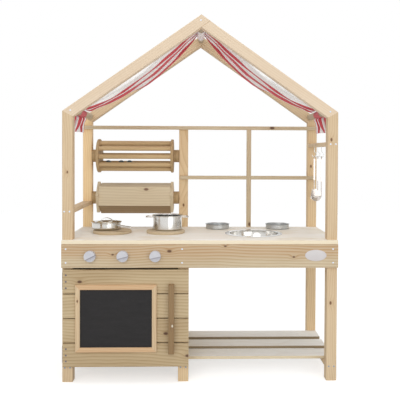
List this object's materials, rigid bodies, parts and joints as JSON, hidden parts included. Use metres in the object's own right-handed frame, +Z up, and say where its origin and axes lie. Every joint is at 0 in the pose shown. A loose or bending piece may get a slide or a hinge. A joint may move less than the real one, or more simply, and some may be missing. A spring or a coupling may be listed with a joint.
{
  "type": "mud kitchen",
  "caption": "House-shaped outdoor play kitchen with a worktop, sink bowl, oven cupboard with chalkboard door, spinning bell drum and box, pans, and a striped cloth canopy.",
  "frame": {"origin": "on the floor below the middle of the bounding box", "axes": "+Z up, -Y towards the front where the door and knobs are, +X to the right seen from the front"},
  "size_m": [1.05, 0.545, 1.3996],
  "materials": {
    "pine": "clear planed softwood",
    "warm_pine": "clear planed softwood",
    "round_bar_wood": "planed",
    "brown_wood": "impregnated softwood",
    "hinge_steel": "zinc plated",
    "plated_wire": "white coated wire",
    "striped_cloth": "red and white stripes",
    "chalkboard_black": "matt blackboard",
    "knob_grey": "satin",
    "dark_bell": "dark metallic",
    "steel": "polished",
    "aluminium": "satin"
  },
  "bodies": {
    "frame": {"front_left_post": "warm_pine", "front_right_post": "warm_pine", "back_left_post": "warm_pine", "back_right_post": "warm_pine", "front_middle_leg": "warm_pine", "back_middle_post": "warm_pine", "front_left_rafter": "warm_pine", "front_right_rafter": "warm_pine", "back_left_rafter": "warm_pine", "back_right_rafter": "warm_pine", "ridge_bar": "round_bar_wood", "left_eave_bar": "round_bar_wood", "right_eave_bar": "round_bar_wood", "left_side_rail": "pine", "right_side_rail": "pine", "back_top_rail": "pine", "back_middle_rail": "pine", "window_muntin": "pine", "worktop": "pine", "front_apron": "pine", "back_apron": "pine", "lower_left_rail": "pine", "lower_middle_rail": "pine", "lower_right_rail": "pine", "shelf_slat_front": "pine", "shelf_slat_middle": "pine", "shelf_slat_back": "pine", "cabinet_sides": "pine", "cabinet_back": "pine", "cabinet_floor": "pine", "hinge_post_leaves": "hinge_steel", "spinner_pins": "hinge_steel", "trivets": "pine", "utensil_hooks": "plated_wire", "canopy": "striped_cloth"},
    "door": {"door_boards": "pine", "door_battens": "pine", "chalkboard_frame": "pine", "chalkboard": "chalkboard_black", "door_handle": "brown_wood", "hinge_door_leaves": "hinge_steel"},
    "knob_1": {"knob_1": "knob_grey"},
    "knob_2": {"knob_2": "knob_grey"},
    "knob_3": {"knob_3": "knob_grey"},
    "drum": {"drum_discs": "brown_wood", "drum_dowels": "brown_wood", "drum_hubs": "brown_wood"},
    "bells": {"drum_bells": "dark_bell"},
    "box": {"box_ends": "brown_wood", "box_panels": "brown_wood", "box_hubs": "brown_wood"},
    "sink_bowl": {"sink_bowl": "steel"},
    "frying_pan": {"frying_pan": "steel"},
    "pan_lid": {"pan_lid": "steel"},
    "saucepan": {"saucepan": "steel"},
    "left_dish": {"left_dish": "aluminium"},
    "right_dish": {"right_dish": "aluminium"},
    "far_turner": {"far_turner": "steel"},
    "middle_turner": {"middle_turner": "steel"},
    "ladle": {"ladle": "steel"}
  },
  "joints": [
    {"name": "door_hinge", "type": "hinge", "parent": "frame", "child": "door", "pos_m": [-0.5225, -0.2305, 0.2475], "axis": [0, 0, -1], "range_deg": [0, 180]},
    {"name": "knob_1_turn", "type": "hinge", "parent": "frame", "child": "knob_1", "pos_m": [-0.416, -0.2429, 0.484], "axis": [0, -1, 0], "continuous": true},
    {"name": "knob_2_turn", "type": "hinge", "parent": "frame", "child": "knob_2", "pos_m": [-0.2935, -0.2429, 0.484], "axis": [0, -1, 0], "continuous": true},
    {"name": "knob_3_turn", "type": "hinge", "parent": "frame", "child": "knob_3", "pos_m": [-0.171, -0.2429, 0.484], "axis": [0, -1, 0], "continuous": true},
    {"name": "drum_spin", "type": "hinge", "parent": "frame", "child": "drum", "pos_m": [-0.29025, 0.1975, 0.86005], "axis": [1, 0, 0], "continuous": true},
    {"name": "box_spin", "type": "hinge", "parent": "frame", "child": "box", "pos_m": [-0.29025, 0.1975, 0.67202], "axis": [1, 0, 0], "continuous": true},
    {"name": "bells_roll", "type": "slide", "parent": "frame", "child": "bells", "axis": [1, 0, 0], "range_m": [-0.018, 0.14]},
    {"name": "sink_bowl_lift", "type": "slide", "parent": "frame", "child": "sink_bowl", "axis": [0, 0, 1], "range_m": [0, 0.15]},
    {"name": "frying_pan_lift", "type": "slide", "parent": "frame", "child": "frying_pan", "axis": [0, 0, 1], "range_m": [0, 0.12]},
    {"name": "pan_lid_lift", "type": "slide", "parent": "frying_pan", "child": "pan_lid", "axis": [0, 0, 1], "range_m": [0, 0.06]},
    {"name": "saucepan_lift", "type": "slide", "parent": "frame", "child": "saucepan", "axis": [0, 0, 1], "range_m": [0, 0.12]},
    {"name": "left_dish_lift", "type": "slide", "parent": "frame", "child": "left_dish", "axis": [0, 0, 1], "range_m": [0, 0.12]},
    {"name": "right_dish_lift", "type": "slide", "parent": "frame", "child": "right_dish", "axis": [0, 0, 1], "range_m": [0, 0.12]},
    {"name": "far_turner_swing", "type": "hinge", "parent": "frame", "child": "far_turner", "pos_m": [0.505, 0.1295, 0.85868], "axis": [1, 0, 0], "range_deg": [-7.5, 7.5]},
    {"name": "middle_turner_swing", "type": "hinge", "parent": "frame", "child": "middle_turner", "pos_m": [0.505, 0.0545, 0.85868], "axis": [1, 0, 0], "range_deg": [-7.5, 7.5]},
    {"name": "ladle_swing", "type": "hinge", "parent": "frame", "child": "ladle", "pos_m": [0.505, -0.0205, 0.85868], "axis": [1, 0, 0], "range_deg": [-7.5, 7.5]}
  ]
}
